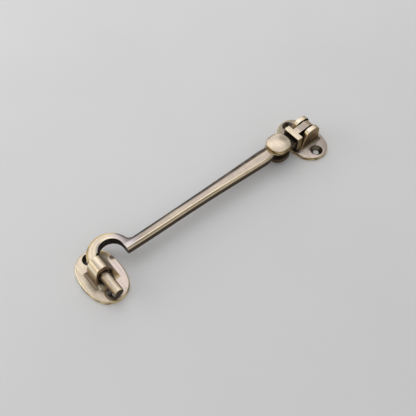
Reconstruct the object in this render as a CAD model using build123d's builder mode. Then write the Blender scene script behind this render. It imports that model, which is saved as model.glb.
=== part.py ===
# Cabin hook in antique brass: an oval plate with two ears, a tee knuckle that
# lifts on a cross pin, an arm that swings on an upright pin, and an oval
# staple plate whose arched eye takes the round tip of the arm.
# Millimetres. Origin: centre of the back face of the hook plate.
# +X runs along the arm to the staple, +Y is the way the tip points, +Z is up.
import math
import os

from build123d import *

# ---------------------------------------------------------------- dimensions
# oval plates, both the same blank
plate_long = 38.0          # along Y
plate_wide = 25.6          # along X
plate_thick = 2.4
plate_end_r = 11.5         # radius of the rounded ends
plate_edge_r = 0.8         # rounded upper rim
screw_pitch = 26.9         # hole spacing along Y
screw_r = 1.9              # through hole
sink_r = 4.0               # countersink at the surface

# pivots
axis_z = 9.2               # height of the cross pin and of the arm's middle
ear_pin_x = -1.5
fork_pin_x = 23.2

# ears
ear_in = 3.50              # inner face from the middle
ear_out = 6.75             # outer face from the middle
ear_front, ear_back = 2.35, -7.8   # upper edge, before its corners are rounded
ear_belly = (5.8, 8.5)     # a point on the bowed front edge
ear_top = 15.7
ear_corner = 4.5           # rounded upper corner at the back
ear_brow = 4.0             # rounded upper corner at the front
ear_front_foot = 6.6       # front edge where it meets the plate
ear_back_foot = -8.8       # back edge where it meets the plate
ear_cove = 2.2
ear_edge = 0.45

# pins
ear_pin_r = 2.0
fork_pin_r = 2.2
run_gap = 0.06             # radial clearance of a running pin
press = 0.01               # radial squeeze of a pressed pin

# knuckle
stem_half = 2.35
stem_top = 15.7            # over the cross pin
stem_low = 3.3
stem_back = 5.9            # reach behind the cross pin
bar_z0, bar_z1 = 3.9, 14.7
bar_x0, bar_x1 = 7.9, 11.9
bar_half = 6.5
tongue_half = 5.4
tongue_z0, tongue_z1 = 7.2, 11.2
knuckle_edge = 0.3

# arm
boss_half = 7.5
boss_back_corner, boss_front_corner = 6.3, 6.3
boss_edge = 0.6
boss_z0, boss_top = 3.7, 16.2
dome_r = 22.0
slot_z0, slot_z1 = 6.85, 11.55
slot_end_x = 29.2
arm_z0, arm_z1 = 6.2, 12.2
arm_root_half = 4.75
arm_far_mid = (84.0, -3.6)
arm_far_end = -3.0
arm_near = ((60.0, 3.95), (80.0, 3.3), (100.0, 3.0), (120.0, 2.95))
arm_near_end = 2.6
bevel_side, bevel_down = 1.35, 0.8
flare_x = 36.5
root_flare_far, root_flare_near = 5.8, 5.1

# hook
neck_x1 = 142.65           # inner face of the neck
bend_out_c, bend_out_r = (152.0, -2.2), 13.55
bend_in_c, bend_in_r = (150.4, -3.0), 7.75
neck_fillet = 4.0
limb_square_y, limb_round_y = -6.4, -3.6
tip_x = 162.0              # axis at the root of the tip
tip_r = 3.1
tip_end_r = 3.05
tip_taper_y, tip_end_y = 7.0, 21.1
tip_lean = 0.9             # degrees, tip leans back to the pivot
tip_chamfer = 0.25

# staple
staple_x, staple_y = 161.8, 1.9
bridge_foot_half, bridge_mid_half = 6.1, 5.75
bridge_mid_z = 9.0
bridge_y_foot, bridge_y_top = 4.9, 4.3   # half length at the plate and at the crown
shoulder_half, shoulder_z = 4.3, 13.9
crown_half, crown_edge_z = 2.9, 16.0
crown_z = 16.9
eye_half = 4.7
eye_z = 8.95
bridge_cove = 3.2

os.makedirs("parts", exist_ok=True)


# ------------------------------------------------------------ shared figures
def oval_points(cx, cy):
    """Tangent points of the four-arc oval, long way along Y."""
    a, b, r = plate_long / 2, plate_wide / 2, plate_end_r
    k = a - r
    big = (k * k + b * b - r * r) / (2 * (b - r))
    d = math.hypot(k, big - b)
    ty = k + r * k / d
    tx = r * (big - b) / d
    return (cx, cy, a, b, tx, ty)


def oval_lines(cx, cy):
    cx, cy, a, b, tx, ty = oval_points(cx, cy)
    ThreePointArc((cx - tx, cy + ty), (cx, cy + a), (cx + tx, cy + ty))
    ThreePointArc((cx + tx, cy + ty), (cx + b, cy), (cx + tx, cy - ty))
    ThreePointArc((cx + tx, cy - ty), (cx, cy - a), (cx - tx, cy - ty))
    ThreePointArc((cx - tx, cy - ty), (cx - b, cy), (cx - tx, cy + ty))


# ------------------------------------------------------------ hook plate
with BuildPart() as hook_plate:
    with BuildSketch(Plane.XY):
        with BuildLine():
            oval_lines(0, 0)
        make_face()
    extrude(amount=plate_thick)
    fillet(hook_plate.faces().sort_by(Axis.Z)[-1].edges(), plate_edge_r)
    # the two ears, tombstone shaped, leaning out at the feet
    for y0 in (ear_in, -ear_out):
        with BuildSketch(Plane.XZ.offset(-(y0 + ear_out - ear_in))) as ear_plan:
            with BuildLine():
                ThreePointArc((ear_front_foot, 1.0), ear_belly, (ear_front, ear_top))
                Polyline(
                    (ear_front, ear_top),
                    (ear_back, ear_top),
                    (ear_back, axis_z - 2.0),
                    (ear_back_foot, 1.0),
                    (ear_front_foot, 1.0),
                )
            make_face()
            brow = [v for v in ear_plan.vertices() if v.Y > ear_top - 0.1 and v.X > 0]
            fillet(brow, ear_brow)
            crown = [v for v in ear_plan.vertices() if v.Y > ear_top - 0.1 and v.X < ear_back + 0.1]
            fillet(crown, ear_corner)
        extrude(amount=ear_out - ear_in)
    # soft edge round the outer outline of each ear
    rim = [
        e
        for e in hook_plate.edges()
        if abs(abs(e.center().Y) - ear_out) < 0.02
        and e.center().Z > plate_thick + 0.5
        and e.bounding_box().size.Y < 0.01
    ]
    fillet(rim, ear_edge)
    # cove where the outer sides of the ears run into the plate
    foot = [
        e
        for e in hook_plate.edges()
        if abs(e.center().Z - plate_thick) < 0.02
        and e.bounding_box().size.Z < 0.02
        and abs(e.center().Y) > ear_in + 0.2
        and abs(e.center().Y) < ear_out + 0.6
        and ear_back_foot - 2 < e.center().X < 8
    ]
    fillet(foot, ear_cove)
    # cross hole for the pin
    with BuildSketch(Plane.XZ.offset(-20)):
        with Locations((ear_pin_x, axis_z)):
            Circle(ear_pin_r - press)
    extrude(amount=40, mode=Mode.SUBTRACT)
    # two countersunk screw holes
    with Locations(
        (0, screw_pitch / 2, plate_thick), (0, -screw_pitch / 2, plate_thick)
    ):
        CounterSinkHole(screw_r, sink_r, counter_sink_angle=90)
hook_plate.part.label = "hook plate with two ears"
export_step(hook_plate.part, "parts/hook_plate.step")

# ------------------------------------------------------------ ear pin
with BuildPart() as ear_pin:
    with BuildSketch(Plane.XZ.offset(-ear_out + 0.05)):
        with Locations((ear_pin_x, axis_z)):
            Circle(ear_pin_r)
    extrude(amount=2 * ear_out - 0.1)
    chamfer(ear_pin.edges(), 0.05)
ear_pin.part.label = "cross pin through the ears"
export_step(ear_pin.part, "parts/ear_pin.step")

# ------------------------------------------------------------ knuckle
with BuildPart() as knuckle:
    # stem between the ears, round at the back
    with BuildSketch(Plane.XZ.offset(-stem_half)):
        with BuildLine():
            Polyline(
                (ear_pin_x, stem_low),
                (bar_x0, bar_z0),
                (bar_x1, bar_z0),
                (bar_x1, bar_z1),
                (bar_x0, bar_z1),
                (ear_pin_x, stem_top),
            )
            ThreePointArc(
                (ear_pin_x, stem_top),
                (ear_pin_x - stem_back, axis_z + 0.3),
                (ear_pin_x, stem_low),
            )
        make_face()
    extrude(amount=2 * stem_half)
    # cross bar of the tee
    with BuildSketch(Plane.XY.offset(bar_z0)):
        with Locations(((bar_x0 + bar_x1) / 2, 0)):
            Rectangle(bar_x1 - bar_x0, 2 * bar_half)
    extrude(amount=bar_z1 - bar_z0)
    chamfer(
        [e for e in knuckle.edges() if abs(abs((e @ 0.5).Y) - bar_half) < 0.02],
        knuckle_edge,
    )
    # flat tongue with a round end
    with BuildSketch(Plane.XY.offset(tongue_z0)):
        with BuildLine():
            Line((bar_x1 - 0.5, -tongue_half), (fork_pin_x, -tongue_half))
            ThreePointArc(
                (fork_pin_x, -tongue_half),
                (fork_pin_x + tongue_half, 0),
                (fork_pin_x, tongue_half),
            )
            Line((fork_pin_x, tongue_half), (bar_x1 - 0.5, tongue_half))
            Line((bar_x1 - 0.5, tongue_half), (bar_x1 - 0.5, -tongue_half))
        make_face()
    extrude(amount=tongue_z1 - tongue_z0)
    # bores
    with BuildSketch(Plane.XZ.offset(-20)):
        with Locations((ear_pin_x, axis_z)):
            Circle(ear_pin_r + run_gap)
    extrude(amount=40, mode=Mode.SUBTRACT)
    with BuildSketch(Plane.XY.offset(0)):
        with Locations((fork_pin_x, 0)):
            Circle(fork_pin_r + run_gap)
    extrude(amount=30, mode=Mode.SUBTRACT)
knuckle.part.label = "tee knuckle"
export_step(knuckle.part, "parts/knuckle.step")

# ------------------------------------------------------------ fork pin
fork_pin_top = boss_top - 2.2
with BuildPart() as fork_pin:
    with BuildSketch(Plane.XY.offset(boss_z0 + 0.05)):
        with Locations((fork_pin_x, 0)):
            Circle(fork_pin_r)
    extrude(amount=fork_pin_top - boss_z0 - 0.05)
    chamfer(fork_pin.edges(), 0.2)
fork_pin.part.label = "upright pin of the fork"
export_step(fork_pin.part, "parts/fork_pin.step")

# ------------------------------------------------------------ arm
co, ro = bend_out_c, bend_out_r
ci, ri = bend_in_c, bend_in_r
far_y = arm_far_end
out_x = co[0] - math.sqrt(ro * ro - (far_y - co[1]) ** 2)
root_x = slot_end_x + 0.1
tip_plane = Plane(
    origin=(tip_x, limb_round_y, axis_z),
    x_dir=(math.cos(math.radians(tip_lean)), math.sin(math.radians(tip_lean)), 0),
    z_dir=(0, 0, 1),
)
tip_axis = Axis(tip_plane.origin, tip_plane.y_dir)
shoulder = limb_round_y - limb_square_y
tip_len = tip_end_y - limb_round_y


def turned_away(x0, x1):
    """What is turned away from one side of the square limb, round a flared core."""
    with BuildPart() as chip:
        with BuildSketch(Plane.XZ.offset(-limb_square_y)):
            with Locations(((x0 + x1) / 2, axis_z)):
                Rectangle(x1 - x0, 16)
        extrude(amount=-(shoulder + 2.5))
        with BuildSketch(tip_plane):
            with BuildLine():
                Polyline(
                    (0.0, -shoulder - 1.0),
                    (tip_r + 2.0, -shoulder - 1.0),
                    (tip_r + 1.6, -shoulder),
                    (tip_r + 0.5, -1.2),
                    (tip_r, 0.0),
                    (tip_r, 5.0),
                    (0.0, 5.0),
                    close=True,
                )
            make_face()
        revolve(axis=tip_axis, mode=Mode.SUBTRACT)
    return chip.part


inner_chip = turned_away(tip_x - 4.5, tip_x + 0.5)
outer_chip = turned_away(tip_x + 0.5, tip_x + 7.5)

with BuildPart() as hook_arm:
    # arm, neck and bend as one flat outline, flaring out into the boss
    with BuildSketch(Plane.XY.offset(arm_z0)):
        with BuildLine():
            Line((root_x, -root_flare_far), (root_x, root_flare_near))
            Spline(
                (root_x, root_flare_near),
                (flare_x, arm_root_half),
                tangents=[(0.35, -1), (1, -0.03)],
            )
            Spline((flare_x, arm_root_half), *arm_near, (neck_x1, arm_near_end))
            Line((neck_x1, arm_near_end), (neck_x1, ci[1]))
            ThreePointArc((neck_x1, ci[1]), (ci[0], ci[1] - ri), (ci[0] + ri, ci[1]))
            Line((ci[0] + ri, ci[1]), (co[0] + ro, co[1]))
            ThreePointArc((co[0] + ro, co[1]), (co[0], co[1] - ro), (out_x, far_y))
            ThreePointArc(
                (out_x, far_y), arm_far_mid, (flare_x, -arm_root_half)
            )
            Spline(
                (flare_x, -arm_root_half),
                (root_x, -root_flare_far),
                tangents=[(-1, 0.03), (-0.35, -1)],
            )
        make_face()
    extrude(amount=arm_z1 - arm_z0)
    # hollow curve where the far edge turns out into the neck
    turn = [
        e
        for e in hook_arm.edges().filter_by(Axis.Z)
        if abs(e.center().X - out_x) < 0.05 and abs(e.center().Y - far_y) < 0.05
    ]
    fillet(turn, neck_fillet)
    # bevels along the arm and the outside of the bend, above and below
    for z in (arm_z1, arm_z0):
        flat = [
            f
            for f in hook_arm.faces()
            if abs(f.center().Z - z) < 0.01 and f.bounding_box().size.Z < 0.01
        ][0]
        long_edges = []
        for e in flat.edges():
            m = e @ 0.5
            on_inner = abs(math.hypot(m.X - ci[0], m.Y - ci[1]) - ri) < 0.05
            on_neck = abs(m.X - neck_x1) < 0.2 and m.Y < arm_near_end - 0.5
            on_end = m.X > 157 and m.Y > -3.2
            on_root = m.X < root_x + 0.05
            if not (on_inner or on_neck or on_end or on_root):
                long_edges.append(e)
        chamfer(long_edges, bevel_side, bevel_down, reference=flat)
    # the limb is turned down to the round tip, which leans slightly inwards
    add(inner_chip, mode=Mode.SUBTRACT)
    add(outer_chip, mode=Mode.SUBTRACT)
    with BuildSketch(tip_plane):
        with BuildLine():
            Polyline(
                (0.0, 0.0),
                (tip_r, 0.0),
                (tip_r, tip_taper_y - limb_round_y),
                (tip_end_r, tip_len - tip_chamfer),
                (tip_end_r - tip_chamfer, tip_len),
                (0.0, tip_len),
                close=True,
            )
        make_face()
    revolve(axis=tip_axis)
    # boss: square towards the arm, round towards the knuckle, pillowed on top
    with BuildSketch(Plane.XY.offset(boss_z0)) as boss_plan:
        with Locations((fork_pin_x, 0)):
            Rectangle(2 * boss_half, 2 * boss_half)
        fillet(boss_plan.vertices().sort_by(Axis.X)[:2], boss_back_corner)
        fillet(boss_plan.vertices().sort_by(Axis.X)[-2:], boss_front_corner)
    extrude(amount=boss_top - boss_z0)
    dome_reach = 10.5
    dome_drop = dome_r - math.sqrt(dome_r**2 - dome_reach**2)
    half_drop = dome_r - math.sqrt(dome_r**2 - (dome_reach / 2) ** 2)
    with BuildSketch(Plane.XZ):
        with BuildLine():
            ThreePointArc(
                (fork_pin_x, boss_top),
                (fork_pin_x + dome_reach / 2, boss_top - half_drop),
                (fork_pin_x + dome_reach, boss_top - dome_drop),
            )
            Polyline(
                (fork_pin_x + dome_reach, boss_top - dome_drop),
                (fork_pin_x + dome_reach, boss_top + 2),
                (fork_pin_x, boss_top + 2),
                (fork_pin_x, boss_top),
            )
        make_face()
    revolve(axis=Axis((fork_pin_x, 0, 0), (0, 0, 1)), mode=Mode.SUBTRACT)
    crown = [f for f in hook_arm.faces() if f.geom_type == GeomType.SPHERE]
    fillet(crown[0].edges(), boss_edge)
    fillet(hook_arm.faces().sort_by(Axis.Z)[0].edges(), boss_edge)
    # slot for the tongue
    with BuildSketch(Plane.XY.offset(slot_z0)):
        with Locations((slot_end_x - 15, 0)):
            Rectangle(30, 40)
    extrude(amount=slot_z1 - slot_z0, mode=Mode.SUBTRACT)
    # blind bore for the upright pin, from below
    with BuildSketch(Plane.XY.offset(boss_z0 - 1)):
        with Locations((fork_pin_x, 0)):
            Circle(fork_pin_r - press)
    extrude(amount=fork_pin_top + 0.3 - boss_z0 + 1, mode=Mode.SUBTRACT)
hook_arm.part.label = "arm with fork, hook and tip"
export_step(hook_arm.part, "parts/hook_arm.step")

# ------------------------------------------------------------ staple
with BuildPart() as staple_plate:
    with BuildSketch(Plane.XY):
        with BuildLine():
            oval_lines(staple_x, staple_y)
        make_face()
    extrude(amount=plate_thick)
    fillet(staple_plate.faces().sort_by(Axis.Z)[-1].edges(), plate_edge_r)
    # arch of the bridge: leaning sides, sloping shoulders, crowned top
    with BuildSketch(Plane.XZ.offset(-(staple_y + bridge_y_foot))):
        with BuildLine():
            Polyline(
                (staple_x - crown_half, crown_edge_z),
                (staple_x - shoulder_half, shoulder_z),
                (staple_x - bridge_mid_half, bridge_mid_z),
                (staple_x - bridge_foot_half, plate_thick - 0.5),
                (staple_x + bridge_foot_half, plate_thick - 0.5),
                (staple_x + bridge_mid_half, bridge_mid_z),
                (staple_x + shoulder_half, shoulder_z),
                (staple_x + crown_half, crown_edge_z),
            )
            ThreePointArc(
                (staple_x + crown_half, crown_edge_z),
                (staple_x, crown_z),
                (staple_x - crown_half, crown_edge_z),
            )
        make_face()
    extrude(amount=2 * bridge_y_foot)
    # both faces lean in towards the crown
    for way in (1, -1):
        with BuildSketch(Plane.YZ.offset(staple_x - 10)):
            with BuildLine():
                Polyline(
                    (staple_y + way * bridge_y_foot, plate_thick),
                    (staple_y + way * bridge_y_top, crown_z),
                    (staple_y + way * bridge_y_top, crown_z + 2),
                    (staple_y + way * (bridge_y_foot + 2), crown_z + 2),
                    (staple_y + way * (bridge_y_foot + 2), plate_thick),
                    close=True,
                )
            make_face()
        extrude(amount=20, mode=Mode.SUBTRACT)
    # cove at the foot of the bridge
    foot = [
        e
        for e in staple_plate.edges()
        if abs(e.center().Z - plate_thick) < 0.02
        and e.bounding_box().size.Z < 0.02
        and abs(e.center().X - staple_x) < bridge_foot_half + 0.1
        and abs(e.center().Y - staple_y) < bridge_y_foot + 0.1
    ]
    fillet(foot, bridge_cove)
    # eye: straight sides, round top
    with BuildSketch(Plane.XZ.offset(-(staple_y + 12))):
        with BuildLine():
            Line((staple_x - eye_half, plate_thick), (staple_x + eye_half, plate_thick))
            Line((staple_x + eye_half, plate_thick), (staple_x + eye_half, eye_z))
            ThreePointArc(
                (staple_x + eye_half, eye_z),
                (staple_x, eye_z + eye_half),
                (staple_x - eye_half, eye_z),
            )
            Line((staple_x - eye_half, eye_z), (staple_x - eye_half, plate_thick))
        make_face()
    extrude(amount=24, mode=Mode.SUBTRACT)
    # two countersunk screw holes
    with Locations(
        (staple_x, staple_y + screw_pitch / 2, plate_thick),
        (staple_x, staple_y - screw_pitch / 2, plate_thick),
    ):
        CounterSinkHole(screw_r, sink_r, counter_sink_angle=90)
staple_plate.part.label = "staple plate with eye"
export_step(staple_plate.part, "parts/staple_plate.step")
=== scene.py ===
import math

import bpy
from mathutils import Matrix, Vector

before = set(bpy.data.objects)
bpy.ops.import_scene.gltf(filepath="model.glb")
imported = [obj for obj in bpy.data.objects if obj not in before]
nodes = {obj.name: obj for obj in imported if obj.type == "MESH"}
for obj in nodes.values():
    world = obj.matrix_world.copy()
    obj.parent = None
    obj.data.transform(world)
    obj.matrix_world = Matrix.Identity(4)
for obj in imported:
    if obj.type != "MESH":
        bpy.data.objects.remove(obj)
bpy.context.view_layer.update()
scene = bpy.context.scene


# ------------------------------------------------------------------ node help
class Graph:
    """Short names for the shader nodes used below."""

    def __init__(self, tree):
        self.tree = tree

    def node(self, kind, **props):
        n = self.tree.nodes.new(kind)
        for k, v in props.items():
            setattr(n, k, v)
        return n

    def put(self, socket, value):
        if value is None:
            return
        if isinstance(value, bpy.types.NodeSocket):
            self.tree.links.new(value, socket)
        else:
            socket.default_value = value

    def math(self, op, a, b=None, c=None, clamp=False):
        n = self.node("ShaderNodeMath", operation=op, use_clamp=clamp)
        for i, v in enumerate((a, b, c)):
            self.put(n.inputs[i], v)
        return n.outputs[0]

    def vmath(self, op, a, b=None, out=0):
        n = self.node("ShaderNodeVectorMath", operation=op)
        self.put(n.inputs[0], a)
        self.put(n.inputs[1], b)
        return n.outputs[out]

    def span(self, value, lo, hi, a=0.0, b=1.0, smooth=True):
        n = self.node(
            "ShaderNodeMapRange",
            interpolation_type="SMOOTHSTEP" if smooth else "LINEAR",
            clamp=True,
        )
        for i, v in enumerate((value, lo, hi, a, b)):
            self.put(n.inputs[i], v)
        return n.outputs[0]

    def mixf(self, fac, a, b):
        n = self.node("ShaderNodeMix", data_type="FLOAT")
        self.put(n.inputs[0], fac)
        self.put(n.inputs[2], a)
        self.put(n.inputs[3], b)
        return n.outputs[0]

    def mixc(self, fac, a, b, blend="MIX"):
        n = self.node("ShaderNodeMix", data_type="RGBA", blend_type=blend)
        self.put(n.inputs[0], fac)
        for i, v in ((6, a), (7, b)):
            if isinstance(v, tuple) and len(v) == 3:
                v = (*v, 1.0)
            self.put(n.inputs[i], v)
        return n.outputs[2]

    def ramp(self, fac, stops):
        n = self.node("ShaderNodeValToRGB")
        r = n.color_ramp
        while len(r.elements) < len(stops):
            r.elements.new(0.5)
        for e, (p, c) in zip(r.elements, stops):
            e.position = p
            e.color = (*c, 1.0)
        self.put(n.inputs[0], fac)
        return n.outputs[0]

    def noise(self, vec, scale, detail=2.0, rough=0.5):
        n = self.node("ShaderNodeTexNoise", noise_dimensions="3D")
        self.put(n.inputs["Vector"], vec)
        self.put(n.inputs["Scale"], scale)
        self.put(n.inputs["Detail"], detail)
        self.put(n.inputs["Roughness"], rough)
        return n.outputs["Fac"]

    def join(self, x, y, z):
        n = self.node("ShaderNodeCombineXYZ")
        for i, v in enumerate((x, y, z)):
            self.put(n.inputs[i], v)
        return n.outputs[0]

    def split(self, v):
        n = self.node("ShaderNodeSeparateXYZ")
        self.put(n.inputs[0], v)
        return n.outputs[0], n.outputs[1], n.outputs[2]


def straight_grain(g, x, y, z):
    """Brushing that runs along X."""
    return x, y, z, (1.0, 0.0, 0.0)


def cross_grain(g, x, y, z):
    """Brushing that runs along Y."""
    return y, x, z, (0.0, 1.0, 0.0)


def arm_grain(g, x, y, z):
    """Brushing that follows the arm, round the bend and out along the tip."""
    dx = g.math("SUBTRACT", x, 151.2)
    dy = g.math("ADD", y, 2.6)
    radius = g.math("SQRT", g.math("ADD", g.math("MULTIPLY", dx, dx), g.math("MULTIPLY", dy, dy)))
    angle = g.math("MULTIPLY", g.math("ARCTAN2", dx, g.math("MULTIPLY", dy, -1.0)), 10.5)
    in_bend = g.math("MULTIPLY", g.span(x, 141.5, 143.5), g.span(y, -1.5, -3.5))
    in_tip = g.math("MULTIPLY", g.span(x, 150.0, 151.0), g.span(y, -3.5, -1.5))
    in_boss = g.span(x, 32.5, 31.0)
    along = g.mixf(in_bend, x, angle)
    across = g.mixf(in_bend, y, radius)
    along = g.mixf(in_tip, along, y)
    across = g.mixf(in_tip, across, x)
    along = g.mixf(in_boss, along, y)
    across = g.mixf(in_boss, across, x)
    return along, across, z, (1.0, 0.0, 0.0)


def ring(g, x, y, cx, cy):
    """Distance from an upright axis."""
    dx = g.math("SUBTRACT", x, cx)
    dy = g.math("SUBTRACT", y, cy)
    return g.math("SQRT", g.math("ADD", g.math("MULTIPLY", dx, dx), g.math("MULTIPLY", dy, dy)))


def most(g, *masks):
    out = masks[0]
    for m in masks[1:]:
        out = g.math("MAXIMUM", out, m)
    return out


def all_of(g, *masks):
    out = masks[0]
    for m in masks[1:]:
        out = g.math("MULTIPLY", out, m)
    return out


def sinks(g, x, y, z, cx, cy):
    """Dark inside the two countersinks of a plate."""
    away = g.math("ABSOLUTE", g.math("SUBTRACT", y, cy))
    return all_of(g, g.span(ring(g, x, away, cx, 13.45), 4.40, 3.95), g.span(z, 0.02, 0.10))


def rim_of(g, z, nz):
    """The low outer wall of a plate."""
    return all_of(g, g.span(z, 2.3, 1.9), g.span(nz, 0.80, 0.45), g.span(nz, -0.80, -0.45))


def hook_plate_masks(g, x, y, z, nx, ny, nz):
    side = g.math("ABSOLUTE", y)
    # painted shade: dark on the plate between the ears and low on the ears' outer faces; the coves at the ears' feet
    # are darkened as well
    between = all_of(g, g.span(side, 3.95, 3.45), g.span(g.math("ABSOLUTE", x), 11.0, 6.0), g.span(z, 1.2, 1.8))
    plate = g.span(z, 4.2, 2.6)
    face = all_of(g, g.span(side, 6.1, 6.5), g.span(side, 9.5, 7.7), g.span(z, 2.3, 2.6))
    ear_low = all_of(g, face, g.span(z, 14.0, 6.0), g.span(x, -7.0, 1.5))
    cove = all_of(g, face, g.span(z, 6.0, 4.2), g.span(x, 8.6, 6.6), g.span(x, -11.5, -9.5))
    far = g.span(y, -3.0, -7.0)
    front = all_of(g, g.span(x, 2.6, 3.8), g.span(nx, 0.40, 0.70), g.span(z, 2.6, 3.2))
    # painted light and shade on the plate's tops: brighter towards the front, darker towards the back and on the far
    # side
    near_tone = g.span(x, -9.5, 7.0, 0.40, 0.86)
    # painted highlight along the ear tops, from dark brown at the back through cream to gold at the front
    crest = all_of(g, g.span(z, 12.2, 13.6), g.span(nz, 0.55, 0.85))
    crest_tint = g.ramp(
        g.span(x, -8.0, 4.0, smooth=False), [(0.10, (0.45, 0.34, 0.20)), (0.55, (0.71, 0.60, 0.46)), (0.76, (1.0, 0.88, 0.71)), (1.0, (0.95, 0.77, 0.51))]
    )
    # painted light on the plate in front of the near ear
    apron = all_of(g, g.span(x, 2.0, 5.0), g.span(y, 7.6, 9.2), g.span(y, 14.5, 11.5), g.span(z, 3.0, 2.6), g.span(z, 1.2, 1.8))
    lit = all_of(g, g.span(z, 1.7, 2.0), g.span(nz, 0.55, 0.75), g.span(nz, 0.995, 0.96), g.span(z, 2.5, 2.41))
    return dict(
        dark=most(g, between, g.math("MULTIPLY", ear_low, 0.62), g.math("MULTIPLY", cove, 0.58)),
        paint=[
            (all_of(g, front, g.span(y, -3.2, -3.6), g.span(y, -7.1, -6.8), 0.8), (0.15, 0.105, 0.058)),
            # painted gold highlight along the near ear's front edge
            (all_of(g, front, g.span(y, 4.6, 5.6), g.span(y, 7.4, 7.0), g.span(z, 3.4, 4.6), 0.75), (0.95, 0.70, 0.36)),
            (crest, crest_tint),
            (g.math("MULTIPLY", apron, 0.95), (1.0, 0.87, 0.77)),
        ],
        soft=most(g, g.math("MULTIPLY", rim_of(g, z, nz), 0.5), g.math("MULTIPLY", apron, 0.8), all_of(g, crest, g.span(x, -2.0, 1.0), 0.5)),
        tone=g.mixf(plate, 0.82, g.mixf(far, near_tone, 0.37)),
        cool=g.math("MULTIPLY", plate, g.mixf(far, 0.75, 0.0)),
        edge_highlight=g.math("MULTIPLY", lit, 0.5),
        sink=sinks(g, x, y, z, 0.0, 0.0),
        rim=rim_of(g, z, nz),
    )


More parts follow.
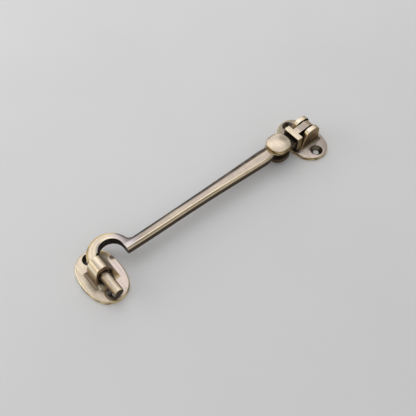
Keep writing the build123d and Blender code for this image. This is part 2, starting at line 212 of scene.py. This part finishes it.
def staple_masks(g, x, y, z, nx, ny, nz):
    out = g.math("SUBTRACT", x, 161.8)
    off = g.math("ABSOLUTE", out)
    along = g.math("ABSOLUTE", g.math("SUBTRACT", y, 1.9))
    rise = g.math("MAXIMUM", g.math("SUBTRACT", z, 8.95), 0.0)
    reach = g.math("SQRT", g.math("ADD", g.math("MULTIPLY", off, off), g.math("MULTIPLY", rise, rise)))
    oval = ring(g, g.math("DIVIDE", out, 12.8), g.math("DIVIDE", g.math("SUBTRACT", y, 1.9), 19.0), 0.0, 0.0)
    floor = all_of(g, g.span(z, 3.2, 2.6), g.span(z, 1.2, 1.8))
    left = g.span(out, 0.0, 1.5)
    right = g.span(out, 0.0, -1.5)
    # painted shade inside the eye of the bridge and on the plate under it
    eye = all_of(g, g.span(reach, 4.95, 4.75), g.span(z, 2.8, 3.6), g.span(along, 5.0, 4.0))
    eye_floor = all_of(g, g.span(off, 4.9, 4.0), floor, g.span(y, 3.5, 0.5), g.span(along, 9.0, 6.0))
    # painted highlight along the shoulder, painted gold light on the sloping facet above it, painted shade making the
    # wall below brown
    shoulder = all_of(g, left, g.span(z, 11.7, 12.5), g.span(z, 14.7, 14.2), g.span(nx, 0.1, 0.3))
    slope = all_of(g, left, g.span(z, 14.0, 14.5), g.span(nx, 0.30, 0.50))
    wall = all_of(
        g, g.span(off, 4.3, 4.9), g.span(z, 12.5, 11.7), g.span(off, 8.3, 7.1), g.span(along, 7.6, 5.6), g.span(nz, 0.97, 0.85), g.span(z, 1.2, 1.8)
    )
    left_wall_shade = g.ramp(
        g.span(z, 2.4, 12.4, smooth=False),
        [(0.04, (0.20, 0.15, 0.105)), (0.20, (0.20, 0.145, 0.096)), (0.45, (0.37, 0.268, 0.165)), (0.95, (0.62, 0.455, 0.262))],
    )
    # painted shade over the cove at the foot of the left wall
    cove_shade = all_of(g, g.span(off, 5.2, 5.8), g.span(off, 8.6, 7.8), g.span(nz, 0.16, 0.30), g.span(nz, 0.985, 0.93), g.span(along, 8.0, 5.8), left)
    cove_shade_tint = g.ramp(nz, [(0.20, (0.30, 0.22, 0.140)), (0.48, (0.150, 0.110, 0.072)), (0.72, (0.115, 0.085, 0.058)), (0.93, (0.17, 0.13, 0.096))])
    shade_tint = g.ramp(
        g.span(z, 2.4, 12.4, smooth=False),
        [(0.04, (0.34, 0.27, 0.22)), (0.25, (0.16, 0.118, 0.085)), (0.80, (0.125, 0.090, 0.060))],
    )
    # painted shade on the plate round the feet of the bridge
    foot = all_of(
        g, g.span(off, 11.6, 8.4), g.span(along, 9.5, 5.0), g.span(z, 8.0, 2.4), g.span(out, -2.0, 2.0), g.span(y, -4.5, 4.5)
    )
    # painted shade at the toe of the left wall
    toe = all_of(g, g.span(out, 8.5, 7.6), g.span(out, 6.4, 6.8), g.span(along, 6.8, 5.0), g.span(y, -3.0, 1.0), g.span(z, 3.4, 2.8), g.span(z, 1.2, 1.8))
    right_foot = all_of(
        g, g.span(out, -4.5, -5.2), g.span(off, 8.6, 7.6), g.span(y, 2.6, 4.2), g.span(y, 9.8, 8.8), g.span(z, 9.0, 6.0), g.span(z, 1.2, 1.8)
    )
    face = all_of(g, g.span(ny, 0.5, 0.8), g.span(z, 5.0, 7.0), left)
    # painted shade where the top of the bridge turns down on the right
    turn = all_of(g, g.span(out, -0.6, -3.6), g.span(z, 12.5, 13.5), g.span(ny, 0.6, 0.3))
    # patches on the plate: painted gold shade and reflection of the hook bend along the far rim, painted light beside
    # the bend, a dark patch by the bend, the painted shadow of the tip round the near hole, a painted sheen inside that
    # hole, and painted highlights near the left foot
    # painted gold shade and reflection of the hook bend along the far rim
    edge_gold = all_of(g, g.span(oval, 0.86, 0.92), g.span(x, 155.5, 154.0), g.span(y, -5.4, -6.6), g.span(z, 1.9, 2.2))
    # painted light on the plate beside the hook bend
    inner = all_of(g, g.span(ring(g, x, y, 153.6, -7.6), 2.6, 1.4), floor)
    patch = all_of(g, g.span(ring(g, x, y, 150.5, -4.2), 2.0, 1.1), floor)
    hole = ring(g, x, y, 161.8, 15.35)
    # painted shadow and dark reflection of the tip on the plate round the near hole
    tip_shadow = all_of(g, g.span(hole, 6.5, 5.5), floor, g.span(x, 162.2, 164.2), g.span(y, 9.6, 11.2))
    tip_shadow_tint = g.ramp(
        g.span(hole, 4.0, 6.5, smooth=False), [(0.10, (0.045, 0.032, 0.020)), (0.50, (0.072, 0.045, 0.018)), (0.85, (0.27, 0.170, 0.070))]
    )
    sheen = all_of(g, g.span(ring(g, x, y, 164.8, 13.4), 1.9, 0.7), g.span(z, 0.4, 0.9))
    # painted light where the tip shades the plate, and a painted highlight at the corner of the near left foot
    spot = all_of(g, g.span(ring(g, x, y, 165.0, 9.6), 2.2, 1.0), floor)
    star = all_of(g, g.span(ring(g, x, y, 166.4, 7.9), 2.4, 0.9), g.span(z, 5.0, 3.6), g.span(z, 1.2, 1.8))
    lit = all_of(g, g.span(z, 1.7, 2.0), g.span(nz, 0.55, 0.75), g.span(nz, 0.995, 0.96), g.span(z, 2.5, 2.41))
    high = g.span(z, 11.0, 13.0)
    rim = rim_of(g, z, nz)
    return dict(
        dark=most(g, eye, g.math("MULTIPLY", eye_floor, 0.9)),
        gold=most(g, g.math("MULTIPLY", slope, 0.40), g.math("MULTIPLY", face, 0.4)),
        pale=shoulder,
        edge_highlight=g.math("MULTIPLY", lit, 0.7),
        paint=[
            (all_of(g, wall, left, 0.95), left_wall_shade),
            (all_of(g, wall, right, 0.90), shade_tint),
            (g.math("MULTIPLY", turn, 0.85), (0.25, 0.185, 0.125)),
            (g.math("MULTIPLY", cove_shade, 0.95), cove_shade_tint),
            (g.math("MULTIPLY", slope, 0.75), (0.86, 0.715, 0.475)),
            (g.math("MULTIPLY", right_foot, 0.9), (0.62, 0.460, 0.235)),
            (g.math("MULTIPLY", inner, 0.65), (0.50, 0.41, 0.32)),
            (g.math("MULTIPLY", edge_gold, 0.8), (0.90, 0.710, 0.390)),
            (g.math("MULTIPLY", patch, 0.9), (0.050, 0.032, 0.018)),
            (g.math("MULTIPLY", toe, 0.80), (0.17, 0.122, 0.080)),
            (g.math("MULTIPLY", tip_shadow, 0.85), tip_shadow_tint),
            (g.math("MULTIPLY", spot, 0.85), (0.70, 0.53, 0.29)),
            (g.math("MULTIPLY", star, 0.90), (0.98, 0.84, 0.58)),
        ],
        soft=most(
            g,
            g.math("MULTIPLY", shoulder, 0.5),
            g.math("MULTIPLY", inner, 0.4),
            g.math("MULTIPLY", spot, 0.5),
            g.math("MULTIPLY", star, 0.85),
            g.math("MULTIPLY", edge_gold, 0.3),
            g.math("MULTIPLY", rim, 0.5),
        ),
        calm=g.math("MULTIPLY", high, 0.7),
        tone=g.mixf(high, g.mixf(foot, g.span(y, 3.0, -4.0, 0.78, 0.85), 0.45), 0.98),
        cool=all_of(g, g.span(x, 162.0, 154.0), g.span(z, 4.2, 2.6), g.span(y, -6.0, 0.0)),
        sink=sinks(g, x, y, z, 161.8, 1.9),
        sheen=sheen,
        rim=rim,
        open=1.0,
    )


def knuckle_masks(g, x, y, z, nx, ny, nz):
    # painted shade: dark low down, on the flanks and underneath, lighter on the tongue and the crossbar end
    low = all_of(g, g.span(z, 13.6, 12.4), g.span(x, 11.4, 11.8))
    flank = all_of(g, g.span(nz, 0.75, 0.35), g.span(x, 8.5, 7.0))
    under = g.span(z, 5.0, 4.0)
    tongue = all_of(g, g.span(ny, 0.3, 0.6), g.span(x, 12.0, 12.6))
    end = all_of(g, g.span(ny, 0.3, 0.6), g.span(x, 12.0, 11.6), g.span(x, 7.6, 8.0), g.span(z, 4.5, 6.5))
    dark = most(g, low, g.math("MULTIPLY", flank, 0.9), under)
    dark = g.math("MULTIPLY", dark, g.mixf(most(g, tongue, end), 1.0, 0.45))
    return dict(
        dark=dark,
        gold=most(g, g.math("MULTIPLY", end, 0.35), g.math("MULTIPLY", g.span(x, 1.0, -4.0), 0.55)),
        # painted shade: the stem's tops darker where it passes between the ears
        tone=g.mixf(g.span(x, 1.0, -4.0), g.span(x, 3.0, 10.5, 0.45, 0.80), 0.72),
        cool=all_of(g, g.span(x, 9.0, 4.0), g.span(x, -2.0, 2.0), 0.6),
    )


def arm_masks(g, x, y, z, nx, ny, nz):
    boss = g.span(x, 32.0, 31.0)
    # painted shade in the slot of the boss and on its lower cheek, with a lighter line left along the lower cheek's top
    # edge
    slot = all_of(g, boss, g.span(z, 11.75, 11.45), g.span(z, 6.6, 6.9))
    lower = all_of(g, boss, g.span(z, 7.2, 6.8))
    lip = all_of(g, boss, g.span(z, 6.95, 6.75), g.span(z, 6.1, 6.4))
    # painted shade on the inner wall of the bend
    bend = all_of(
        g, g.span(ring(g, x, y, 150.4, -3.0), 8.6, 8.1), g.span(nz, 0.7, 0.3), g.span(x, 142.0, 142.5)
    )
    gold = all_of(g, boss, g.span(z, 11.5, 12.0), g.span(nz, 0.97, 0.6))
    # the two long edges of the arm: painted highlight lines along the near edge, a painted dark shade band along the
    # far edge
    shaft = all_of(g, g.span(x, 31.5, 33.0), g.span(x, 149.0, 143.0))
    near_y = 4.75
    for x0, x1, step in (
        (36.5, 60.0, -0.80), (60.0, 80.0, -0.65), (80.0, 100.0, -0.30), (100.0, 120.0, -0.05), (120.0, 142.6, -0.35)
    ):
        near_y = g.math("ADD", g.span(x, x0, x1, 0.0, step, smooth=False), near_y)
    far_y = g.math(
        "ADD", g.span(x, 36.0, 84.0, -4.75, -3.6, smooth=False), g.span(x, 84.0, 138.0, 0.0, 0.6, smooth=False)
    )
    in_near = g.math("SUBTRACT", near_y, y)
    in_far = g.math("SUBTRACT", y, far_y)
    high = g.span(z, 10.6, 11.0)
    highlight_top = g.math(
        "MULTIPLY", g.span(g.math("ABSOLUTE", g.math("SUBTRACT", in_near, 1.45)), 0.42, 0.16), g.span(x, 44.0, 66.0, 0.25, 1.0)
    )
    highlight_mid = all_of(g, g.span(g.math("ABSOLUTE", g.math("SUBTRACT", in_near, 0.70)), 0.60, 0.25), g.span(x, 80.0, 62.0), 0.55)
    highlight_low = g.span(g.math("ABSOLUTE", g.math("SUBTRACT", in_near, 0.05)), 0.36, 0.14)
    edge_highlight = all_of(g, most(g, highlight_top, highlight_mid, g.math("MULTIPLY", highlight_low, 0.85)), high, shaft, g.span(x, 142.9, 142.4))
    bevel = all_of(g, g.span(in_near, 1.4, 1.2), high, shaft)
    band_w = g.math(
        "ADD", g.span(x, 34.0, 138.0, 3.5, 1.70, smooth=False), g.span(x, 106.0, 124.0, -0.42, 0.0, smooth=False)
    )
    band = all_of(g, g.span(g.math("SUBTRACT", in_far, band_w), 0.70, -0.80), g.span(x, 29.8, 31.4), g.span(y, 1.0, -1.0), g.span(z, 13.0, 12.5), g.span(x, 145.0, 137.0))
    rim = all_of(g, g.span(ring(g, x, y, 152.0, -2.2), 11.9, 12.4), g.span(x, 141.0, 143.0), g.span(y, 2.0, -1.0))
    rim_gold = all_of(g, rim, g.span(nz, 0.98, 0.88), g.span(nz, 0.10, 0.40), g.span(x, 141.2, 143.0))
    neck = all_of(g, g.span(x, 118.0, 136.0), g.span(x, 150.0, 143.5))
    neck_grey = all_of(g, g.span(x, 132.0, 139.0), g.span(x, 146.0, 141.0), g.span(nz, 0.80, 0.95))
    tip = all_of(g, g.span(y, -3.6, -2.6), g.span(x, 156.0, 157.0))
    tip_left = all_of(g, tip, g.span(nx, 0.30, 0.68))
    # painted grey shade on the inner edge of the bend, a painted highlight inside the bend, painted dark shade on the
    # far edge of the neck
    hook_r = ring(g, x, y, 150.4, -3.0)
    fade = all_of(g, g.span(hook_r, 9.6, 7.9), g.span(x, 151.0, 154.0), g.span(y, -4.0, -6.5), g.span(nz, 0.5, 0.8))
    inner_lit = all_of(g, g.span(hook_r, 9.4, 8.3), g.span(x, 152.5, 150.5), g.span(x, 142.5, 145.0), g.span(y, -8.0, -10.0))
    neck_far = all_of(g, g.span(ring(g, x, y, 152.0, -2.2), 12.3, 13.0), g.span(x, 143.0, 141.2), g.span(y, -5.5, -7.5))
    # painted shade on the tip's right edge and on its end face, and a painted highlight round the end rim
    tip_right = all_of(g, tip, g.span(g.math("ADD", nx, g.span(y, 8.0, 16.5, 0.0, 0.24, smooth=False)), -0.55, -0.75))
    tip_end = all_of(g, g.span(y, 20.8, 21.05), g.span(ny, 0.6, 0.9))
    tip_round = ring(g, x, z, 161.6, 9.2)
    tip_rim = most(
        g,
        all_of(g, g.span(y, 20.3, 20.65), g.span(ny, 0.85, 0.6), g.span(nz, -0.1, 0.3)),
        all_of(g, g.span(y, 20.8, 21.05), g.span(tip_round, 2.45, 2.65), g.span(z, 9.4, 10.4)),
    )
    tip_lit = all_of(g, tip, g.span(nx, 0.0, 0.22), g.span(nx, 0.65, 0.45))
    tip_dim = all_of(g, tip, g.span(nx, 0.12, -0.08), g.span(nx, -0.62, -0.42))
    # painted shade: brown down the left side of the round tip
    tip_tint = g.ramp(g.span(nz, -0.4, 0.8, smooth=False), [(0.15, (0.33, 0.235, 0.150)), (0.75, (0.190, 0.134, 0.085))])
    # painted dark reflection across the top of the dome
    dome_dark_reflection = all_of(g, g.span(ring(g, x, y, 18.6, -0.6), 4.6, 1.2), g.span(z, 13.0, 14.0))
    tone = g.mixf(shaft, g.mixf(boss, 0.88, 0.91), 0.61)
    tone = g.math("MULTIPLY", tone, g.mixf(neck, 1.0, g.span(x, 136.5, 140.0, 0.74, 1.20)))
    tone = g.math("MULTIPLY", tone, g.mixf(dome_dark_reflection, 1.0, 0.56))
    tone = g.math("MULTIPLY", tone, g.mixf(tip_lit, g.mixf(tip_dim, 1.0, 0.90), 1.14))
    return dict(
        dark=most(
            g,
            slot,
            g.math("MULTIPLY", lower, g.mixf(lip, 0.70, 0.2)),
            bend,
            g.math("MULTIPLY", tip_right, 0.80),
            g.math("MULTIPLY", tip_end, 0.45),
        ),
        gold=most(g, gold, g.math("MULTIPLY", rim, 0.6), g.math("MULTIPLY", bevel, 0.35)),
        pale=g.math("MULTIPLY", inner_lit, 0.6),
        paint=[
            (g.math("MULTIPLY", neck_grey, 0.45), (0.60, 0.565, 0.62)),
            (g.math("MULTIPLY", rim_gold, 0.80), (0.94, 0.70, 0.33)),
            (g.math("MULTIPLY", band, 0.95), (0.032, 0.023, 0.019)),
            (all_of(g, lower, 0.7), (0.15, 0.104, 0.060)),
            (g.math("MULTIPLY", tip_left, 0.85), tip_tint),
            (g.math("MULTIPLY", fade, 0.80), (0.20, 0.185, 0.19)),
            (g.math("MULTIPLY", neck_far, 0.80), (0.10, 0.075, 0.055)),
            (all_of(g, g.span(ring(g, x, y, 152.0, -2.2), 11.8, 12.6), g.span(x, 158.0, 161.0), g.span(y, 0.0, -1.5), 0.9), (0.27, 0.195, 0.095)),
        ],
        soft=g.math("MULTIPLY", rim_gold, 0.4),
        calm=most(g, g.math("MULTIPLY", boss, 0.6), g.math("MULTIPLY", tip, 0.6)),
        rim=all_of(g, boss, g.span(z, 11.4, 11.8), g.span(nz, 0.66, 0.40), 0.75),
        tone=tone,
        cool=most(g, neck, g.math("MULTIPLY", shaft, 0.40)),
        edge_highlight=most(g, edge_highlight, tip_rim),
    )


def no_masks(g, x, y, z, nx, ny, nz):
    return {}


def antique_brass(name, grain, masks, seed, round_r=0.00032, sides=1.0, edges=True):
    """Rubbed antique brass: pale where it is brushed; painted light and shade by slope makes the sloping
    edges golden and the sides dark brown; black in the recesses, partly patina and partly painted shade."""
    mat = bpy.data.materials.new(name)
    mat.use_nodes = True
    tree = mat.node_tree
    tree.nodes.clear()
    g = Graph(tree)
    out = g.node("ShaderNodeOutputMaterial")
    bsdf = g.node("ShaderNodeBsdfPrincipled")
    g.put(out.inputs["Surface"], bsdf.outputs["BSDF"])

    coord = g.node("ShaderNodeTexCoord").outputs["Object"]
    mm = g.vmath("SCALE", coord)
    mm.node.inputs["Scale"].default_value = 1000.0
    x, y, z = g.split(mm)
    along, across, height, _ = grain(g, x, y, z)

    # slope of the surface, with the sharp edges rounded off
    soft = g.node("ShaderNodeBevel", samples=6)
    soft.inputs["Radius"].default_value = round_r
    turn = g.node("ShaderNodeVectorTransform", vector_type="NORMAL", convert_from="WORLD", convert_to="OBJECT")
    g.put(turn.inputs[0], soft.outputs[0])
    nx, ny, nz = g.split(turn.outputs[0])
    mask = masks(g, x, y, z, nx, ny, nz)

    # long fine brushing lines, and a coarser set that shows from a distance
    fine_at = g.join(
        g.math("MULTIPLY_ADD", along, 0.05, seed),
        g.math("MULTIPLY", across, 3.4),
        g.math("MULTIPLY", height, 3.4),
    )
    fine = g.noise(fine_at, 1.6, 3.0, 0.65)
    broad_at = g.join(
        g.math("MULTIPLY_ADD", along, 0.022, seed * 1.7),
        g.math("MULTIPLY", across, 1.0),
        g.math("MULTIPLY", height, 1.0),
    )
    broad = g.noise(broad_at, 1.1, 2.0, 0.6)
    # slow drift of the patina over the part, and cloudy mottling in it
    drift_at = g.join(
        g.math("MULTIPLY_ADD", x, 0.05, seed * 2.3),
        g.math("MULTIPLY", y, 0.08),
        g.math("MULTIPLY", z, 0.08),
    )
    drift = g.noise(drift_at, 1.0, 3.0, 0.5)
    mottle_at = g.join(
        g.math("MULTIPLY_ADD", along, 0.16, seed * 3.1),
        g.math("MULTIPLY", across, 0.36),
        g.math("MULTIPLY", height, 0.36),
    )
    mottle = g.noise(mottle_at, 1.0, 4.0, 0.6)
    speck = g.noise(mm, 0.9, 4.0, 0.7)

    # colour by slope: pale brushed tops, with painted shade darkening the sides and painted gold light on the slopes,
    # disturbed a little so that no edge line is even
    slope = g.math("ADD", nz, g.math("MULTIPLY", g.math("SUBTRACT", speck, 0.5), 0.16))
    body = g.ramp(
        g.math("MULTIPLY_ADD", slope, 0.5, 0.5, clamp=True),
        [
            (0.30, (0.028 * sides, 0.020 * sides, 0.014 * sides)),
            (0.50, (0.105 * sides, 0.069 * sides, 0.037 * sides)),
            (0.62, (0.155 + 0.055 * sides, 0.105 + 0.037 * sides, 0.053 + 0.020 * sides)),
            (0.75, (0.450, 0.318, 0.158)),
            (0.88, (0.690, 0.545, 0.342)),
            (0.965, (0.830, 0.716, 0.566)),
        ],
    )
    if "gold" in mask:
        body = g.mixc(mask["gold"], body, (0.56, 0.40, 0.185))
    if "pale" in mask:
        body = g.mixc(mask["pale"], body, (0.98, 0.88, 0.68))
    # plain brown backs
    body = g.mixc(g.span(nz, -0.45, -0.85), body, (0.215, 0.155, 0.095))
    # pinkish grey and cream clouds on the rubbed faces
    top = g.span(nz, 0.70, 0.94)
    cloud = g.math("ADD", g.math("MULTIPLY", drift, 0.55), g.math("MULTIPLY", mottle, 0.45))
    cool = g.mixc(g.span(cloud, 0.40, 0.62), (1.02, 1.0, 0.955), (0.84, 0.815, 0.83))
    body = g.mixc(g.math("MULTIPLY", top, 0.9), body, g.mixc(1.0, body, cool, "MULTIPLY"))
    if "cool" in mask:
        grey = g.mixc(1.0, body, (0.975, 0.965, 1.14), "MULTIPLY")
        body = g.mixc(g.math("MULTIPLY", top, mask["cool"]), body, grey)
    lines = g.math("ADD", g.math("MULTIPLY", broad, 0.6), g.math("MULTIPLY", fine, 0.4))
    streak = g.span(lines, 0.34, 0.66, 0.72, 1.12, smooth=False)
    if "calm" in mask:
        streak = g.mixf(mask["calm"], streak, 0.96)
    streak = g.math("MULTIPLY", streak, g.span(speck, 0.30, 0.70, 0.94, 1.06, smooth=False))
    # brightness of the tops by position from each part's tone, in places a painted light and shade
    if "tone" in mask:
        streak = g.math("MULTIPLY", streak, g.mixf(top, 1.0, mask["tone"]))
    shade = g.node("ShaderNodeCombineColor")
    for i in range(3):
        g.put(shade.inputs[i], streak)
    body = g.mixc(1.0, body, shade.outputs[0], "MULTIPLY")

    # bright along the outer edges: rubbed wear together with a painted highlight
    edge = g.node("ShaderNodeBevel", samples=6)
    edge.inputs["Radius"].default_value = 0.0005
    flat = g.node("ShaderNodeNewGeometry").outputs["Normal"]
    sharp = g.math("SUBTRACT", 1.0, g.vmath("DOT_PRODUCT", edge.outputs[0], flat, out=1))
    cave = g.node("ShaderNodeAmbientOcclusion", samples=8, only_local=True)
    cave.inputs["Distance"].default_value = 0.0045
    wear_and_highlight = all_of(
        g,
        g.span(sharp, 0.003, 0.022),
        g.span(cave.outputs["AO"], 0.45, 0.62),
        g.span(nz, -0.1, 0.35),
        g.span(speck, 0.30, 0.62, 0.45, 0.95),
    )
    # painted highlight lines given by each part's mask
    if "edge_highlight" in mask:
        wear_and_highlight = most(g, wear_and_highlight, g.math("MULTIPLY", mask["edge_highlight"], g.span(mottle, 0.30, 0.60, 0.55, 1.0)))
    if edges:
        body = g.mixc(wear_and_highlight, body, (0.90, 0.765, 0.540))

    # dark patina in the hollows, and painted shade where each part's dark mask lies
    deep = (0.18, 0.52) if "open" in mask else (0.28, 0.72)
    hollow_and_shade = g.span(cave.outputs["AO"], *deep, 0.92, 0.0)
    if "dark" in mask:
        hollow_and_shade = most(g, hollow_and_shade, mask["dark"])
    hollow_and_shade = g.math("MULTIPLY", hollow_and_shade, g.span(speck, 0.2, 0.7, 0.86, 1.0))
    body = g.mixc(hollow_and_shade, body, (0.026, 0.021, 0.018))
    for where, tint in mask.get("paint", ()):
        body = g.mixc(g.math("MULTIPLY", where, g.span(mottle, 0.3, 0.6, 0.82, 1.0)), body, tint)
    if "sink" in mask:
        cone = g.mixc(g.span(mottle, 0.35, 0.62), (0.022, 0.019, 0.019), (0.078, 0.072, 0.073))
        body = g.mixc(mask["sink"], body, cone)
    if "sheen" in mask:
        body = g.mixc(g.math("MULTIPLY", mask["sheen"], 0.8), body, (0.34, 0.325, 0.33))
    # rims mottled between dark patina and painted gold highlights
    if "rim" in mask:
        turns = g.noise(g.vmath("MULTIPLY", mm, (0.17, 0.17, 0.9)), 1.0, 2.0, 0.5)
        rim_patina_and_highlight = g.ramp(
            turns, [(0.38, (0.045, 0.030, 0.016)), (0.47, (0.34, 0.23, 0.085)), (0.57, (0.98, 0.82, 0.46))]
        )
        body = g.mixc(g.math("MULTIPLY", mask["rim"], 0.9), body, rim_patina_and_highlight)
    g.put(bsdf.inputs["Base Color"], body)

    bsdf.inputs["Metallic"].default_value = 1.0
    if "soft" in mask:
        g.put(bsdf.inputs["Metallic"], g.math("SUBTRACT", 1.0, mask["soft"], clamp=True))
    rough = g.math("ADD", g.span(fine, 0.25, 0.75, 0.28, 0.42, smooth=False), g.span(nz, 0.3, 0.9, 0.08, 0.0))
    rough = g.math("ADD", rough, g.math("MULTIPLY", hollow_and_shade, 0.2), clamp=True)
    g.put(bsdf.inputs["Roughness"], rough)
    bsdf.inputs["Anisotropic"].default_value = 0.3

    bump = g.node("ShaderNodeBump")
    bump.inputs["Strength"].default_value = 0.2
    bump.inputs["Distance"].default_value = 0.0001
    g.put(bump.inputs["Height"], g.math("ADD", g.math("MULTIPLY", fine, 0.8), g.math("MULTIPLY", speck, 0.25)))
    g.put(bump.inputs["Normal"], soft.outputs[0])
    g.put(bsdf.inputs["Normal"], bump.outputs[0])
    return mat


def dress(node, mat):
    o = nodes[node]
    o.data.materials.clear()
    o.data.materials.append(mat)


dress("hook_arm", antique_brass("brass_arm", arm_grain, arm_masks, 3.1, sides=0.8))
dress("knuckle", antique_brass("brass_knuckle", cross_grain, knuckle_masks, 11.7, sides=1.6))
dress("hook_plate", antique_brass("brass_hook_plate", cross_grain, hook_plate_masks, 23.9, sides=3.8))
dress("staple_plate", antique_brass("brass_staple_plate", cross_grain, staple_masks, 37.3, sides=3.0))
dress("ear_pin", antique_brass("brass_ear_pin", cross_grain, hook_plate_masks, 23.9, 0.00005, sides=3.8, edges=False))
dress("fork_pin", antique_brass("brass_fork_pin", straight_grain, no_masks, 63.5, 0.0001))


# ------------------------------------------------------------------ floor
def floor_material():
    mat = bpy.data.materials.new("pale_floor")
    mat.use_nodes = True
    tree = mat.node_tree
    g = Graph(tree)
    bsdf = tree.nodes["Principled BSDF"]
    coord = g.node("ShaderNodeTexCoord").outputs["Object"]
    n = g.noise(coord, 9.0, 4.0, 0.6)
    g.put(bsdf.inputs["Base Color"], g.ramp(n, [(0.3, (0.735, 0.73, 0.725)), (0.7, (0.76, 0.755, 0.75))]))
    bsdf.inputs["Roughness"].default_value = 0.75
    return mat


mesh = bpy.data.meshes.new("floor")
h = 1.6
mesh.from_pydata([(-h, -h, 0), (h, -h, 0), (h, h, 0), (-h, h, 0)], [], [(0, 1, 2, 3)])
floor = bpy.data.objects.new("floor", mesh)
scene.collection.objects.link(floor)
floor.location = (0.08, 0.0, -0.00003)
mesh.materials.append(floor_material())


# ------------------------------------------------------------------ light
centre = Vector((0.084, 0.003, 0.0))
back = Vector((-0.632, -0.775, 0.0))
left = Vector((0.775, -0.632, 0.0))
up = Vector((0.0, 0.0, 1.0))


def softbox(name, place, width, height, power, colour=(1.0, 1.0, 1.0)):
    data = bpy.data.lights.new(name, "AREA")
    data.shape = "RECTANGLE"
    data.size, data.size_y = width, height
    data.energy = power
    data.color = colour
    o = bpy.data.objects.new(name, data)
    scene.collection.objects.link(o)
    o.location = centre + place
    o.rotation_euler = (-place).to_track_quat("-Z", "Y").to_euler()
    return o


softbox("key", back * 0.50 + left * 0.05 + up * 0.73, 0.80, 0.55, 1.40)
softbox("left", left * 0.75 + up * 0.22, 0.80, 0.42, 2.2)
softbox("rear", back * 0.90 + up * 0.30, 1.00, 0.40, 1.1)

world = bpy.data.worlds.new("studio")
scene.world = world
world.use_nodes = True
wg = Graph(world.node_tree)
sky_z = wg.split(wg.node("ShaderNodeTexCoord").outputs["Generated"])[2]
sky = wg.ramp(
    wg.math("MULTIPLY_ADD", sky_z, 0.5, 0.5),
    [
        (0.48, (0.30, 0.30, 0.30)),
        (0.52, (0.22, 0.222, 0.225)),
        (0.68, (0.32, 0.323, 0.328)),
        (0.85, (0.58, 0.585, 0.592)),
        (1.00, (0.78, 0.785, 0.79)),
    ],
)
wg.put(world.node_tree.nodes["Background"].inputs[0], sky)
world.node_tree.nodes["Background"].inputs[1].default_value = 1.0

# ------------------------------------------------------------------ camera
cam_data = bpy.data.cameras.new("camera")
cam_data.sensor_width = 36.0
cam_data.lens = 51.14
cam_data.clip_start = 0.01
cam = bpy.data.objects.new("camera", cam_data)
scene.collection.objects.link(cam)
cam.location = (0.2157, 0.1645, 0.3034)
cam.rotation_euler = (Vector((0.0840, 0.0029, 0.0)) - cam.location).to_track_quat("-Z", "Y").to_euler()
scene.camera = cam

scene.view_settings.view_transform = "Standard"
scene.view_settings.look = "None"
